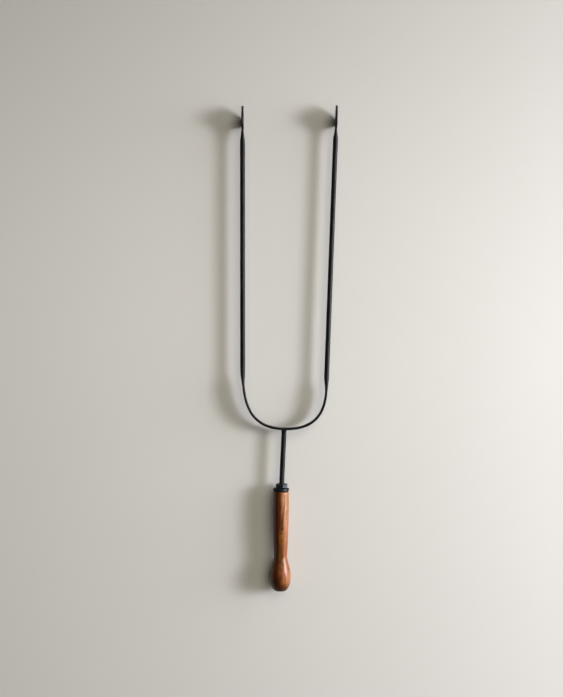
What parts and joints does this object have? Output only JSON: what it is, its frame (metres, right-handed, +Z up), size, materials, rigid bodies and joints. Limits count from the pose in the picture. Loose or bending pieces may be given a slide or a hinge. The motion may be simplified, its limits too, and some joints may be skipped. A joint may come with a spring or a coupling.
{
  "type": "two-tined fork",
  "caption": "Long hand-forged fork with two straight round tines on a U-shaped bow, upright flat round paddles at the tips, a rod shank and a turned wooden handle.",
  "frame": {"origin": "bottom centre of the whole fork's box, on the plane that the fork lies on", "axes": "+Y along the handle towards the tips of the tines, +X across the tines to the right as seen from above, +Z up, away from the plane that the fork lies on"},
  "size_m": [0.123, 0.6094, 0.0264],
  "materials": {
    "forged_iron": "black forge scale, oiled, satin",
    "shank_iron": "black, satin, slightly smoother than the head",
    "fittings_iron": "blue-black, satin, worn at the edges",
    "varnished_wood": "red-brown hardwood under worn semi-gloss varnish"
  },
  "bodies": {
    "root": {"fork_head": "forged_iron", "shank": "shank_iron", "bolster": "fittings_iron", "lock_nut": "fittings_iron", "handle": "varnished_wood", "butt_washer": "fittings_iron", "butt_nut": "fittings_iron"}
  },
  "joints": []
}
